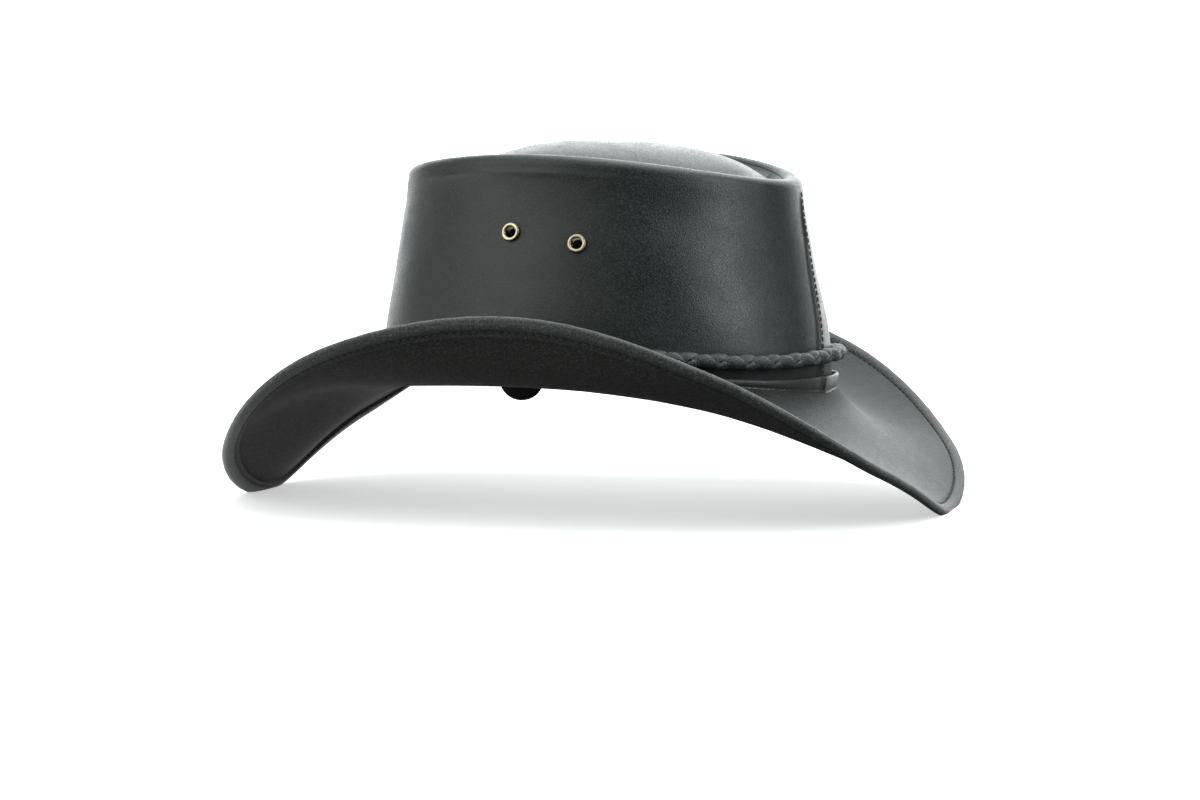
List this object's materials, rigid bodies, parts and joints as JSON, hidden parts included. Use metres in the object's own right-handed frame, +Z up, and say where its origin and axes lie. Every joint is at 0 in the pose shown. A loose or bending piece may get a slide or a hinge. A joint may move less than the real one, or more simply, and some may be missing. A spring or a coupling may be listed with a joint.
{
  "type": "leather western hat",
  "caption": "Stiff leather hat with a flat-topped crown, a wide brim curled up at the sides, a braided leather band and round vent eyelets.",
  "frame": {"origin": "under the middle of the hat's outline, on the surface that the brim stands on", "axes": "+X towards the front of the hat, +Y towards the wearer's left, +Z up through the crown"},
  "size_m": [0.338, 0.3036, 0.1681],
  "materials": {
    "crown_leather": "black waxed leather with a fine grain and a soft sheen",
    "brim_leather": "black leather with a dry, finely pebbled grain",
    "braid_leather": "black leather lace, braided round",
    "antique_brass": "aged brass, worn bright on the rim"
  },
  "bodies": {
    "root": {"brim": "brim_leather", "crown_side": "crown_leather", "crown_tip": "crown_leather", "base_strip": "crown_leather", "hat_band": "braid_leather", "band_sleeve": "crown_leather", "eyelet_near_back": "antique_brass", "eyelet_near_front": "antique_brass", "eyelet_far_back": "antique_brass", "eyelet_far_front": "antique_brass", "opening_tab": "crown_leather"}
  },
  "joints": []
}
